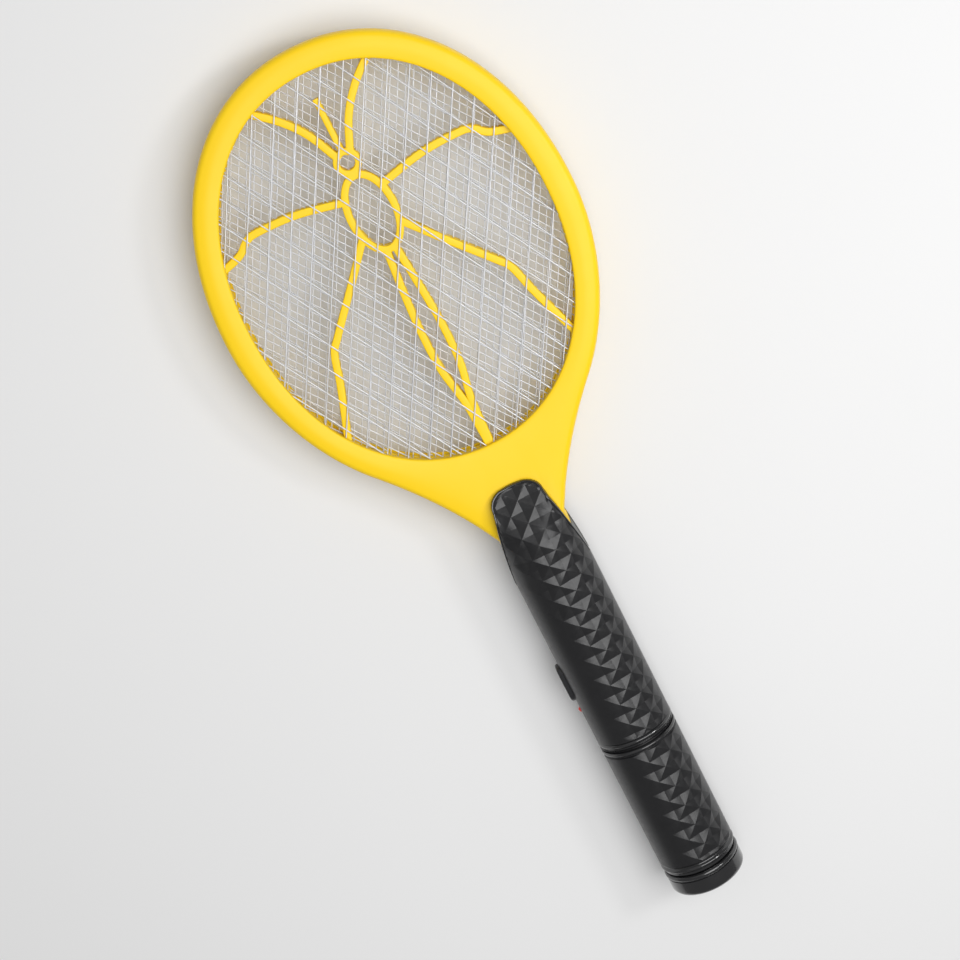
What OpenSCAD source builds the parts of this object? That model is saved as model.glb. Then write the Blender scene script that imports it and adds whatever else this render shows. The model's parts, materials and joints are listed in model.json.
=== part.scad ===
// Electric fly swatter, lying on its back.
// X runs across the head, Y from the butt of the handle to the top of the head, and Z out of
// the front face. Every module is drawn about the handle's own axis, with y = 0 just below the
// yoke; place() then moves it so that the origin is under the middle of the whole swatter.

/* [Overall] */
// Length from the butt to the top of the head
overall_len = 440; // [438:1:444]
// Distance from y = 0 to the butt of the handle
butt_len = 192; // [191:1:193]

/* [Head] */
// Half of the head's width
head_a = 85.5; // [84:0.5:87]
// Height of the head's widest line above y = 0
head_cy = 142; // [141:0.5:143]
// Half of the head's thickness
head_half_t = 7.5; // [7.2:0.1:8]
// Half of the opening's width
open_a = 73.3; // [72.5:0.1:74]
// Half of the opening's length
open_b = 92; // [91.5:0.5:92.5]
// Height of the opening's centre above y = 0
open_cy = 144; // [143.5:0.5:144.5]
// Half of the yoke's width where it meets the handle
yoke_half_w = 16.7; // [16.2:0.1:17.2]

/* [Grids and ribs] */
// Diameter of every grid wire
wire_d = 0.8; // [0.6:0.1:0.9]
// Distance between the wires of the two outer grids
outer_pitch = 9.55; // [9:0.05:10]
// Distance between the wires of the middle grid
middle_pitch = 3.4; // [3.3:0.1:3.8]
// Height of the outer grids' wires above the middle plane
outer_grid_z = 4.2; // [4.2:0.1:4.3]
// Width of a rib
rib_w = 3.2; // [2.6:0.1:3.6]

/* [Handle] */
// Radius of the grips
grip_r = 19.2; // [19:0.1:19.5]
// Thickness of the grip's wall
grip_wall = 2; // [1.8:0.1:2.1]
// Distance from y = 0 down to the seam between upper grip and lower barrel
mid_seam = 107.4; // [107:0.1:108]
// Distance from y = 0 down to the seam above the end cap
end_seam = 179.9; // [179.5:0.1:180.3]
// Height of the tongue's tip above y = 0
tongue_tip = 31.6; // [31:0.1:32]

/* [Button] */
// Distance from y = 0 down to the middle of the push button
button_y = 70; // [68:1:72]
// Length of the push button along the handle
button_len = 20; // [18:1:21]
// Width of the push button
button_w = 9; // [8:0.5:9.5]
// Travel of the push button
button_travel = 1.5; // [1:0.1:1.6]

/* [Hidden] */

// colours
yellow = [1.0, 0.84, 0.2];
black = [0.13, 0.13, 0.14];
steel = [0.75, 0.77, 0.8];
dark = [0.3, 0.3, 0.3];
board_green = [0.1, 0.4, 0.2];
lead_red = [0.7, 0.1, 0.1];
wrap_blue = [0.2, 0.45, 0.75];
brass_tape = [0.85, 0.65, 0.2];
epoxy_brown = [0.55, 0.16, 0.1];
epoxy_blue = [0.2, 0.35, 0.6];
lacquer = [0.8, 0.7, 0.5];

// faces
fn_round = 96;
fn_small = 32;
eps = 0.01;

// overall frame
y_mid = (overall_len - butt_len - butt_len) / 2;
head_top = overall_len - butt_len;

// head outline: a superellipse, rounder above its widest line than below it
head_b_top = head_top - head_cy;
head_b_low = 108;
head_n_top = 2.1;
head_n_low = 1.9;
blend_y = 60;
blend_knee = [30.2, 35];
yoke_y = 8;
yoke_low = 1;
outline_steps = 24;
crown_step = 1.5;

// channel inside the frame that holds the edges of grids and rib webs
lip_z = outer_grid_z + wire_d / 2 + 0.1;
channel_depth = 5;
grid_edge = 3.2;
web_low_z = wire_d / 2 + 0.1;
web_top_z = outer_grid_z - wire_d / 2 - 0.1;
outer_half_angle = 30;
middle_angles = [-37, 29];
layer_gap = 0.02;
link_x = 6;

// neck of the frame inside the handle
neck_half_w = 13.5;
neck_half_t = 6;
neck_low = -14;
groove_half_w = 3;
groove_half_t = 2;

// frame screws: angle round the head from +Y, on an oval through the solid part of the rim
screw_angles = [20, 58, 96, 134];
screw_line = channel_depth + 3.4;
yoke_screw = [11, 38];
screw_r = 1.2;
screw_clear_r = 1.5;
screw_head_r = 2.2;
screw_head_h = 1.6;
recess_r = 2.5;
recess_depth = 2;

// grips
bore_r = grip_r - grip_wall;
wall_y = -8;
taper_y = -24;
taper_k = 0.0029;
tip_root = 23;
tip_n = 2.3;
slope_y = 2;
slope_tip_z = 9.7;
fit_gap = 0.1;
seam_gap = 0.5;
seam_r = grip_r - 1.1;
collar_r = bore_r - fit_gap;
collar_top = -99;
boss_r = 3.2;
neck_screw = [10.5, 0];
low_screw = [12, -93];
led_y = -85.5;
led_r = 1.5;
led_proud = 0.6;
led_len = 4;

// push button
button_out = 1.6;
window_gap = 0.3;
flange_x = -15.5;
flange_t = 1.2;
flange_over = 1.5;
stem_r = 2;
spring_r = 2.8;
spring_wire_r = 0.3;
spring_turns = 4;
spring_gap = spring_wire_r + 0.05;

// circuit board, its posts and its screws
board_top = -5;
board_t = 1.6;
board_half_w = 12.4;
board_low = -82;
board_high = -18;
post_r = 2.5;
post_h = 9;
post_at = [[9.5, -22], [-9.5, -78]];
board_screw_len = 7;
board_screw_r = 0.88;

// tact switch: its body stands on the board and its plunger meets the button's stem
switch_face = -9;
switch_size = [3.5, 7, 8.5];
plunger_len = 1.5;
plunger_r = 1.5;
stem_tip = switch_face - plunger_len - button_travel - 0.2;

// other parts on the board, as [x, y] places and [x, y, z] sizes
core_at = [4, -38];
core_size = [13, 13, 10];
core_window = [10, 4];
window_y = 3.9;
coil_clear = 0.1;
storage_at = [-11, -46];
storage_size = [6.5, 18, 12];
disc_cap_at = [8, -52];
disc_cap_pitch = 6;
disc_cap_r = 4.5;
disc_cap_t = 3;
diode_at = [-2, -52];
diode_pitch = 5;
diode_size = [1.35, 5.2, 1.6];
resistor_at = [0, -70];
resistor_pitch = 3.2;
resistor_size = [0.95, 4, 0.9];
leg_r = 0.35;
transistor_at = [8, -75];
transistor_r = 2.4;
transistor_h = 6.5;
transistor_flat = -1.6;

// battery compartment
barrel_bore_r = 16;
liner_r = barrel_bore_r - 0.05;
cell_x = 7.55;
cell_r = 7.1;
cell_bore_r = 7.4;
cell_len = 49.5;
nub_len = 1;
nub_r = 2.6;
disc_top = -110;
disc_t = 2;
plate_t = 0.5;
liner_top = -112.5;
liner_low = -171.9;
cell_a_top = -112.6;
cell_b_low = -172.4;
contact_size = 8;
cell_spring_r = 3.8;
cell_spring_wire_r = 0.45;

// end cap: its plug goes into the barrel and carries the bridge between the cells
cap_top = -end_seam - seam_gap;
cap_bottom = -butt_len;
cap_edge_r = 3;
cap_plug_r = barrel_bore_r - 0.1;
cap_plug_top = -174;
carrier_t = 2;
bridge_len = 25;

function superellipse(a, b, n, t) =
  [a * sign(cos(t)) * pow(abs(cos(t)), 2 / n), b * sign(sin(t)) * pow(abs(sin(t)), 2 / n)];
function bezier(p, q, r, t) = (1 - t) * (1 - t) * p + 2 * t * (1 - t) * q + t * t * r;
function unit(v) = v / norm(v);
function mirrored(points) = [for (i = [len(points) - 1:-1:0]) [-points[i][0], points[i][1]]];

// point of a smooth curve through the given points (Catmull-Rom), u from 0 to len - 1
function end_point(p, i) = p[max(0, min(len(p) - 1, i))];
function smooth_at(p, u) =
  let (i = min(floor(u), len(p) - 2), t = u - i,
       a = end_point(p, i - 1), b = p[i], c = p[i + 1], d = end_point(p, i + 2))
  0.5 * (2 * b + (c - a) * t + (2 * a - 5 * b + 4 * c - d) * t * t
         + (3 * b - a - 3 * c + d) * t * t * t);
function smooth(p, steps) = [for (i = [0:steps * (len(p) - 1)]) smooth_at(p, i / steps)];

// outline of a band of width w along a curve
function side_point(c, i, w) =
  let (t = unit(end_point(c, i + 1) - end_point(c, i - 1))) c[i] + w / 2 * [-t[1], t[0]];
function band(c, w) = concat([for (i = [0:len(c) - 1]) side_point(c, i, w)],
                             [for (i = [len(c) - 1:-1:0]) side_point(c, i, -w)]);

module place() translate([0, -y_mid, grip_r]) children();
module both_sides() { children(); mirror([1, 0, 0]) children(); }
module along_y(y) translate([0, y, 0]) rotate([-90, 0, 0]) children();

// solid tube swept along points, none of whose steps runs along the vector `up`
module tube(points, r, sides = 8, up = [0, 0, 1]) {
  count = len(points);
  rings = [for (i = [0:count - 1])
    let (t = unit(end_point(points, i + 1) - end_point(points, i - 1)),
         u = unit(cross(t, up)), v = cross(u, t))
    for (k = [0:sides - 1]) points[i] + r * (cos(360 * k / sides) * u + sin(360 * k / sides) * v)];
  sides_faces = [for (i = [0:count - 2]) for (k = [0:sides - 1])
    [i * sides + k, i * sides + (k + 1) % sides,
     (i + 1) * sides + (k + 1) % sides, (i + 1) * sides + k]];
  first = [[for (k = [sides - 1:-1:0]) k]];
  last = [[for (k = [0:sides - 1]) (count - 1) * sides + k]];
  polyhedron(rings, concat(sides_faces, first, last), convexity = 8);
}

// ---- head ----

function outline_right(inset) = concat(
  [for (i = [0:outline_steps]) [0, head_cy]
    + superellipse(head_a - inset, head_b_top - inset, head_n_top, 90 - 90 * i / outline_steps)],
  [for (i = [1:outline_steps]) [0, head_cy]
    + superellipse(head_a - inset, head_b_low, head_n_low,
        -blend_angle() * i / outline_steps)],
  [for (i = [1:10]) bezier(blend_start() - [inset, 0], blend_knee - [inset, 0],
                           [yoke_half_w - inset, yoke_y], i / 10)],
  [[yoke_half_w - inset, yoke_low]]);
function blend_angle() = asin(pow((head_cy - blend_y) / head_b_low, head_n_low / 2));
function blend_start() =
  [0, head_cy] + superellipse(head_a, head_b_low, head_n_low, -blend_angle());

module head_plate(inset = 0)
  polygon(concat(outline_right(inset), mirrored(outline_right(inset))));

module oval(grow = 0) translate([0, open_cy])
  polygon([for (i = [0:95]) superellipse(open_a + grow, open_b + grow, head_n_top, 3.75 * i)]);

function rim_point(angle) = [0, open_cy]
  + superellipse(open_a + screw_line, open_b + screw_line, head_n_top, 90 - angle);
rim_screws = [for (a = screw_angles) rim_point(a)];

module at_frame_screws() both_sides()
  for (p = concat(rim_screws, [yoke_screw])) translate([p[0], p[1], 0]) children();

module at_neck_screws() both_sides() translate([neck_screw[0], neck_screw[1], 0]) children();

module frame_shell() difference() {
  union() {
    linear_extrude(head_half_t - crown_step) head_plate();
    linear_extrude(head_half_t) head_plate(crown_step);
    translate([-neck_half_w, neck_low, 0])
      cube([2 * neck_half_w, yoke_y + 4 - neck_low, neck_half_t]);
  }
  translate([0, 0, -1]) linear_extrude(head_half_t + 2) oval();
  translate([0, 0, -1]) linear_extrude(lip_z + 1) oval(channel_depth);
  translate([-groove_half_w, neck_low - 1, -1])
    cube([2 * groove_half_w, open_cy - open_b - neck_low, groove_half_t + 1]);
  at_neck_screws() translate([0, 0, -1]) cylinder(r = screw_clear_r, h = 9, $fn = fn_small);
}

module front_frame() place() color(yellow) difference() {
  frame_shell();
  at_frame_screws() translate([0, 0, -1]) cylinder(r = screw_r + 0.02, h = 6, $fn = fn_small);
}

module rear_frame() place() color(yellow) difference() {
  mirror([0, 0, 1]) frame_shell();
  at_frame_screws() {
    translate([0, 0, -head_half_t - 1])
      cylinder(r = screw_clear_r, h = head_half_t + 2, $fn = fn_small);
    translate([0, 0, -head_half_t - 1]) cylinder(r = recess_r, h = recess_depth + 1, $fn = fn_small);
  }
}

// one family of straight wires at an angle to Y, cut to the opening
module wires(angle, pitch) intersection() {
  oval(grid_edge);
  translate([0, open_cy]) rotate(-angle)
    for (i = [-ceil(open_b / pitch):ceil(open_b / pitch)])
      translate([i * pitch - wire_d / 2, -open_b * 1.2]) square([wire_d, open_b * 2.4]);
}

module outer_grid() translate([0, 0, outer_grid_z - wire_d / 2]) linear_extrude(wire_d) {
  wires(outer_half_angle, outer_pitch);
  wires(-outer_half_angle, outer_pitch);
}

module front_grid() place() color(steel) outer_grid();
module rear_grid() place() color(steel) mirror([0, 0, 1]) outer_grid();

module middle_grid() place() color(steel) {
  translate([0, 0, layer_gap / 2]) linear_extrude(wire_d / 2 - layer_gap / 2)
    wires(middle_angles[0], middle_pitch);
  translate([0, 0, -wire_d / 2]) linear_extrude(wire_d / 2 - layer_gap / 2)
    wires(middle_angles[1], middle_pitch);
}

// ribs, each a smooth curve through a few points of its right-hand copy
rib_top = [[2.6, 196], [9.7, 211.2], [18.5, 222.3], [30, 232]];
rib_side = [[9, 178.5], [30.7, 183], [49.3, 183.8], [55.5, 182.4], [61.5, 177.9], [73.5, 174.5]];
rib_low = [[8.5, 161.5], [23.2, 144.5], [39.5, 126.1], [44.2, 119.8], [48.5, 105.5], [57.5, 80]];
rib_tail = [[2.2, 151], [4.3, 126], [5.1, 108.5], [4.5, 91], [1.6, 74], [0.4, 51]];
body_ring = [12, 19.5, 169.3];
body_ring_w = 3.4;
head_ring = [6.4, 3.4, 193.6];
snout = [[0, 198], [0, 224]];

module rib_layout() {
  both_sides() for (r = [rib_top, rib_side, rib_low, rib_tail]) polygon(band(smooth(r, 5), rib_w));
  difference() {
    translate([0, body_ring[2]]) polygon([for (i = [0:47])
      superellipse(body_ring[0], body_ring[1], 2, 7.5 * i)]);
    translate([0, body_ring[2]]) polygon([for (i = [0:47])
      superellipse(body_ring[0] - body_ring_w, body_ring[1] - body_ring_w, 2, 7.5 * i)]);
  }
  translate([0, head_ring[2]]) difference() {
    circle(r = head_ring[0], $fn = fn_small);
    circle(r = head_ring[1], $fn = fn_small);
  }
  polygon(band(snout, rib_w * 0.8));
}

module rib_web() translate([0, 0, web_low_z]) linear_extrude(web_top_z - web_low_z) {
  difference() { oval(grid_edge); oval(0.5); }
  intersection() {
    oval(2);
    rib_layout();
  }
}

module front_rib_web() place() color(yellow) rib_web();
module rear_rib_web() place() color(yellow) mirror([0, 0, 1]) rib_web();

// screw with a cross recess, its head's underside at z = 0 and its shank up to z = len
module screw(len, r, head_r, head_h) difference() {
  union() {
    cylinder(r = r, h = len, $fn = fn_small);
    translate([0, 0, -head_h]) cylinder(r = head_r, h = head_h, $fn = fn_small);
  }
  for (turn = [0, 90]) rotate(turn)
    translate([-head_r * 0.6, -0.35, -head_h - eps]) cube([head_r * 1.2, 0.7, head_h * 0.6]);
}

module frame_screws() place() color(steel) at_frame_screws()
  translate([0, 0, recess_depth - head_half_t])
    screw(head_half_t - recess_depth + 4.5, screw_r, screw_head_r, screw_head_h);

// strip in the frame's channel, soldered to the edges of the two outer grids
module ground_link() place() color(steel)
  translate([link_x, open_cy - open_b - channel_depth + 0.7, 0.1 - lip_z])
    cube([4, 1.3, 2 * (lip_z - 0.1)]);

// ---- upper grip ----

function taper_w(y) = grip_r - taper_k * (y - taper_y) * (y - taper_y);
function plan_right() = concat(
  [[grip_r + 1, -mid_seam - 1], [grip_r + 1, taper_y]],
  [for (i = [0:8]) let (y = taper_y + (tip_root - taper_y) * i / 8) [taper_w(y), y]],
  [for (i = [1:12]) [0, tip_root]
    + superellipse(taper_w(tip_root), tongue_tip - tip_root, tip_n, 90 * i / 12)]);

module grip_plan() polygon(concat(plan_right(), mirrored(plan_right())));

// side view, drawn in Y and Z
module grip_side() polygon([
  [-mid_seam + seam_gap, 0], [-mid_seam + seam_gap, grip_r + 1], [slope_y, grip_r + 1],
  [slope_y, grip_r], [tongue_tip + 1, slope_tip_z], [tongue_tip + 1, 0]
]);

module grip_blank() intersection() {
  along_y(-mid_seam + seam_gap)
    cylinder(r = grip_r, h = mid_seam - seam_gap + tongue_tip, $fn = fn_round);
  linear_extrude(grip_r + 1) grip_plan();
  translate([-grip_r - 1, 0, 0]) rotate([90, 0, 90]) linear_extrude(2 * grip_r + 2) grip_side();
}

module button_window() translate([-grip_r - 5, -button_y, 0]) rotate([0, 90, 0])
  linear_extrude(10) stadium(button_w + 2 * window_gap, button_len + 2 * window_gap);

// rounded slot shape, w wide and l long along Y
module stadium(w, l) {
  square([w, l - w], center = true);
  for (side = [-1, 1]) translate([0, side * (l - w) / 2]) circle(d = w, $fn = fn_small);
}

module at_low_screws() both_sides() translate([low_screw[0], low_screw[1], 0]) children();

// front half shell; the rear half is its mirror image with its own screw holes
module grip_half() difference() {
  union() {
    difference() {
      grip_blank();
      along_y(-mid_seam - 1) cylinder(r = bore_r, h = mid_seam + 1 + wall_y, $fn = fn_round);
    }
    intersection() {
      at_low_screws() cylinder(r = boss_r, h = grip_r, $fn = fn_small);
      along_y(-mid_seam + seam_gap) cylinder(r = bore_r + 0.5, h = 40, $fn = fn_round);
    }
  }
  translate([-neck_half_w - fit_gap, wall_y - 1, -1])
    cube([2 * (neck_half_w + fit_gap), yoke_y - wall_y + 2, neck_half_t + fit_gap + 1]);
  translate([-grip_r - 1, yoke_low - fit_gap, -1])
    cube([2 * grip_r + 2, tongue_tip, head_half_t + fit_gap + 1]);
  button_window();
  translate([-grip_r - 1, led_y, 0]) rotate([0, 90, 0])
    cylinder(r = led_r + 0.1, h = 6, $fn = fn_small);
}

module upper_grip_front() place() color(black) difference() {
  grip_half();
  at_neck_screws() cylinder(r = screw_r + 0.02, h = 13, $fn = fn_small);
  at_low_screws() translate([0, 0, -1]) cylinder(r = screw_r + 0.02, h = 10, $fn = fn_small);
}

module upper_grip_rear() place() color(black) difference() {
  union() {
    mirror([0, 0, 1]) grip_half();
    for (p = post_at) translate([p[0], p[1], board_top - board_t - post_h])
      cylinder(r = post_r, h = post_h, $fn = fn_small);
  }
  at_neck_screws() {
    translate([0, 0, -grip_r]) cylinder(r = screw_clear_r, h = grip_r, $fn = fn_small);
    translate([0, 0, -grip_r]) cylinder(r = recess_r, h = grip_r - 11, $fn = fn_small);
  }
  at_low_screws() {
    translate([0, 0, -grip_r]) cylinder(r = screw_clear_r, h = grip_r + 1, $fn = fn_small);
    translate([0, 0, -grip_r]) cylinder(r = recess_r, h = grip_r - 8, $fn = fn_small);
  }
  for (p = post_at) translate([p[0], p[1], board_top - board_screw_len])
    cylinder(r = board_screw_r + 0.02, h = board_screw_len, $fn = fn_small);
}

module grip_screws() place() color(steel) {
  at_neck_screws() translate([0, 0, -11]) screw(22, screw_r, screw_head_r, screw_head_h);
  at_low_screws() translate([0, 0, -8]) screw(15, screw_r, screw_head_r, screw_head_h);
}

// ---- push button, switch and lamp ----

module zap_button() place() color(dark) translate([0, -button_y, 0]) {
  translate([-grip_r - button_out, 0, 0]) rotate([0, 90, 0])
    linear_extrude(grip_r + button_out + flange_x) stadium(button_w, button_len);
  translate([flange_x, 0, 0]) rotate([0, 90, 0])
    linear_extrude(flange_t) stadium(button_w + 2 * flange_over, button_len + 2 * flange_over);
  translate([flange_x, 0, 0]) rotate([0, 90, 0])
    cylinder(r = stem_r, h = stem_tip - flange_x, $fn = fn_small);
}

function coil(r, turns, from, to, steps) =
  [for (i = [0:turns * steps]) let (a = 360 * i / steps)
    [r * cos(a), r * sin(a), from + (to - from) * i / (turns * steps)]];

module button_spring() place() color(steel) translate([0, -button_y, 0]) rotate([0, 90, 0])
  tube(coil(spring_r, spring_turns, flange_x + flange_t + spring_gap, switch_face - spring_gap, 12),
       spring_wire_r, 6);

module tact_switch() place() color(dark) translate([0, -button_y, 0]) {
  translate([switch_face, -switch_size[1] / 2, board_top]) cube(switch_size);
  translate([switch_face - plunger_len, 0, 0]) rotate([0, 90, 0])
    cylinder(r = plunger_r, h = plunger_len + 0.1, $fn = fn_small);
}

module indicator_led() place() color([0.9, 0.15, 0.1])
  translate([led_proud - grip_r, led_y, 0]) rotate([0, 90, 0]) {
    sphere(r = led_r, $fn = fn_small);
    cylinder(r = led_r, h = led_len, $fn = fn_small);
    translate([0, 0, led_len - 0.5]) cylinder(r = led_r + 0.4, h = 1, $fn = fn_small);
  }

// ---- electronics ----

module circuit_board() place() color(board_green) difference() {
  translate([-board_half_w, board_low, board_top - board_t])
    cube([2 * board_half_w, board_high - board_low, board_t]);
  for (p = post_at) translate([p[0], p[1], board_top - board_t - 1])
    cylinder(r = screw_r, h = board_t + 2, $fn = fn_small);
}

module board_screws() place() color(steel) for (p = post_at)
  translate([p[0], p[1], board_top]) mirror([0, 0, 1])
    screw(board_screw_len, board_screw_r, 1.9, 1.2);

module on_board(at) translate([at[0], at[1], board_top]) children();

module transformer_core() place() color(dark) on_board(core_at) difference() {
  translate([-core_size[0] / 2, -core_size[1] / 2, 0]) cube(core_size);
  for (side = [-1, 1])
    translate([-core_window[0] / 2, side * window_y - core_window[1] / 2, -1])
      cube([core_window[0], core_window[1], core_size[2] + 2]);
}

module transformer_coil() place() color(brass_tape) on_board(core_at) for (side = [-1, 1])
  translate([coil_clear - core_window[0] / 2,
             side * window_y + coil_clear - core_window[1] / 2, coil_clear])
    cube([core_window[0], core_window[1], core_size[2]] - 2 * coil_clear * [1, 1, 1]);

module storage_capacitor() place() color(epoxy_brown) on_board(storage_at) cube(storage_size);

module multiplier_capacitors() place() color(epoxy_blue) for (i = [0:2])
  on_board(disc_cap_at - [0, disc_cap_pitch * i]) translate([0, 0, disc_cap_r + 0.1])
    rotate([90, 0, 0]) cylinder(r = disc_cap_r, h = disc_cap_t, $fn = fn_small);

// part with a round body along X and a leg bent down at each end; size is radius, length and leg
module axial_part(size) translate([0, 0, size[0] + leg_r]) {
  rotate([0, 90, 0]) cylinder(r = size[0], h = size[1], center = true, $fn = fn_small);
  rotate([0, 90, 0]) cylinder(r = leg_r, h = size[1] + 2 * size[2], center = true, $fn = fn_small);
  both_sides() translate([size[1] / 2 + size[2] - leg_r, 0, -size[0] - 0.3])
    cylinder(r = leg_r, h = size[0] + 0.3, $fn = 16);
}

module hv_diodes() place() color(black)
  for (i = [0:2]) on_board(diode_at - [0, diode_pitch * i]) axial_part(diode_size);

module resistors() place() color(lacquer)
  for (i = [0:2]) on_board(resistor_at - [0, resistor_pitch * i]) axial_part(resistor_size);

module transistor() place() color(black) on_board(transistor_at) intersection() {
  cylinder(r = transistor_r, h = transistor_h, $fn = fn_small);
  translate([-transistor_r - 1, transistor_flat, 0])
    cube([2 * transistor_r + 2, 2 * transistor_r, transistor_h]);
}

// routes of the leads
hv_route = [[-1.4, -25, board_top + 0.8], [-1.4, -21, -3.4], [-1.4, -16.5, -0.6], [-1.4, -10, 0],
            [-1.4, 25, 0], [-1.4, 48.5, 0]];
ground_route = [[1.4, -25, board_top + 0.8], [1.4, -21, -3.4], [1.4, -16.5, -0.6], [1.4, -10, 0],
                [1.4, 25, 0], [1.4, 42, 0], [1.5, 46.4, 0], [2.3, 47.85, 0], [3.8, 48.05, 0],
                [5.9, 48.1, 0]];
positive_route = [[-4, -80, board_top + 0.8], [-4, -86, -3], [-7, -98, -2], [-7.5, -109.9, -1]];
negative_route = [[4, -80, board_top + 0.8], [4, -86, -3], [7, -98, -2], [7.5, -109.9, -1]];
lead_r = 0.7;

module hv_lead() place() color(lead_red) tube(smooth(hv_route, 3), lead_r);
module ground_lead() place() color(black) tube(smooth(ground_route, 3), lead_r);
module battery_lead_positive() place() color(lead_red) tube(smooth(positive_route, 4), lead_r);
module battery_lead_negative() place() color(black) tube(smooth(negative_route, 4), lead_r);

// ---- lower barrel and battery compartment ----

module lower_barrel() place() color(black) difference() {
  union() {
    along_y(-end_seam + seam_gap)
      cylinder(r = grip_r, h = end_seam - mid_seam - 2 * seam_gap, $fn = fn_round);
    along_y(-mid_seam - seam_gap - 1) cylinder(r = seam_r, h = 2 * seam_gap + 1, $fn = fn_round);
    along_y(-mid_seam) cylinder(r = collar_r, h = mid_seam + collar_top, $fn = fn_round);
  }
  along_y(-end_seam - 1) cylinder(r = barrel_bore_r, h = end_seam - 90, $fn = fn_round);
}

module at_cells() for (side = [-1, 1]) translate([side * cell_x, 0, 0]) children();

module battery_liner() place() color(dark) difference() {
  along_y(liner_low) cylinder(r = liner_r, h = liner_top - liner_low, $fn = fn_round);
  at_cells() along_y(liner_low - 1) cylinder(r = cell_bore_r, h = liner_top - liner_low + 2, $fn = 64);
}

module terminal_disc() place() color(dark)
  along_y(disc_top - disc_t) cylinder(r = liner_r, h = disc_t, $fn = fn_round);

// square contact plate under the terminal disc, centred on a cell
module contact_plate(x, size) translate([x - size / 2, disc_top - disc_t - plate_t, -size / 2])
  cube([size, plate_t, size]);

module cell_spring(x, from, to) translate([x, 0, 0]) rotate([-90, 0, 0])
  tube(coil(cell_spring_r, spring_turns, from, to, 12), cell_spring_wire_r, 6);

module positive_contact() place() color(steel) contact_plate(-cell_x, contact_size);

module negative_spring() place() color(steel) {
  contact_plate(cell_x, contact_size + 1);
  cell_spring(cell_x, disc_top - disc_t - plate_t - 0.1, cell_b_low + nub_len + cell_len + 0.6);
}

module cell() {
  cylinder(r = cell_r, h = cell_len, $fn = 64);
  cylinder(r = nub_r, h = cell_len + nub_len, $fn = fn_small);
}

module battery_cell_a() place() color(wrap_blue)
  translate([-cell_x, 0, 0]) along_y(cell_a_top - cell_len - nub_len) cell();

module battery_cell_b() place() color(wrap_blue)
  translate([cell_x, 0, 0]) along_y(cell_b_low + cell_len + nub_len) mirror([0, 0, 1]) cell();

// ---- end cap ----

cap_profile = concat(
  [[0, cap_bottom], [grip_r - cap_edge_r, cap_bottom]],
  [for (i = [1:8]) [grip_r - cap_edge_r, cap_bottom + cap_edge_r]
    + cap_edge_r * [sin(90 * i / 8), -cos(90 * i / 8)]],
  [[grip_r, cap_top], [cap_plug_r, cap_top], [cap_plug_r, cap_plug_top - carrier_t],
   [0, cap_plug_top - carrier_t]]);

module end_cap() place() color(black)
  rotate([-90, 0, 0]) rotate_extrude($fn = fn_round) polygon(cap_profile);

module contact_carrier() place() color(dark)
  along_y(cap_plug_top - carrier_t) cylinder(r = cap_plug_r - 0.2, h = carrier_t, $fn = fn_round);

module bridge_plate() place() color(steel)
  translate([-bridge_len / 2, cap_plug_top, -contact_size / 2])
    cube([bridge_len, plate_t, contact_size]);

module bridge_spring() place() color(steel)
  cell_spring(-cell_x, cap_plug_top + plate_t + 0.5, cell_a_top - cell_len - nub_len - 0.5);

front_frame();
rear_frame();
front_grid();
middle_grid();
rear_grid();
front_rib_web();
rear_rib_web();
frame_screws();
ground_link();
upper_grip_front();
upper_grip_rear();
grip_screws();
zap_button();
button_spring();
tact_switch();
indicator_led();
circuit_board();
board_screws();
transformer_core();
transformer_coil();
storage_capacitor();
multiplier_capacitors();
hv_diodes();
resistors();
transistor();
hv_lead();
ground_lead();
battery_lead_positive();
battery_lead_negative();
lower_barrel();
battery_liner();
terminal_disc();
positive_contact();
negative_spring();
battery_cell_a();
battery_cell_b();
end_cap();
contact_carrier();
bridge_plate();
bridge_spring();
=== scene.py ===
import json
import math

import bmesh
import bpy
from mathutils import Matrix, Vector


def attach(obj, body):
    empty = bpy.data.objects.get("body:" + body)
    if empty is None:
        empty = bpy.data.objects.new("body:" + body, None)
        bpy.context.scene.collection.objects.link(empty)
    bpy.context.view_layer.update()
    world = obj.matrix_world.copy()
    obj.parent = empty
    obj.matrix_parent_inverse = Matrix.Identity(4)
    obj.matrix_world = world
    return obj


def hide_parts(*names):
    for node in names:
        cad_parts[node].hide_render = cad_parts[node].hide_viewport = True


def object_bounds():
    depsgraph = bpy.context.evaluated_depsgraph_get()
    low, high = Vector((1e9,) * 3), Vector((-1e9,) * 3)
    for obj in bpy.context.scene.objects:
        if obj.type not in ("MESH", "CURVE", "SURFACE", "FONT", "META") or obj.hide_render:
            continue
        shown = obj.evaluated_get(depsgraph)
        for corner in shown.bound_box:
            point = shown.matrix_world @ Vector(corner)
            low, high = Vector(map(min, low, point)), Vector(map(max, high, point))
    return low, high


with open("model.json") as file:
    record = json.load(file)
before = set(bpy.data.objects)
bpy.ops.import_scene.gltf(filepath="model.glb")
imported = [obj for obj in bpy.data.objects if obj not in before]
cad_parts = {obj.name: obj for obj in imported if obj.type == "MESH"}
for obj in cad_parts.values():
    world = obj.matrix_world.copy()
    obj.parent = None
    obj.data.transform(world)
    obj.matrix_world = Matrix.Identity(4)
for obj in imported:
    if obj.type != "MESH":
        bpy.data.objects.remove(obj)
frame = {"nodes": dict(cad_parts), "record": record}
cad_low, cad_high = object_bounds()

# Lengths below are millimetres in the handle's own frame: y = 0 just below the yoke and z = 0 on the
# handle's axis. ORIGIN moves them to the row frame, in metres.
MM = 0.001
BUTT = 192.0
GRIP_MOUNT = next(m for m in frame["record"]["mounts"] if m["name"] == "grip")
ORIGIN = Vector((0, cad_low.y + BUTT * MM, GRIP_MOUNT["pos_m"][2]))

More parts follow.
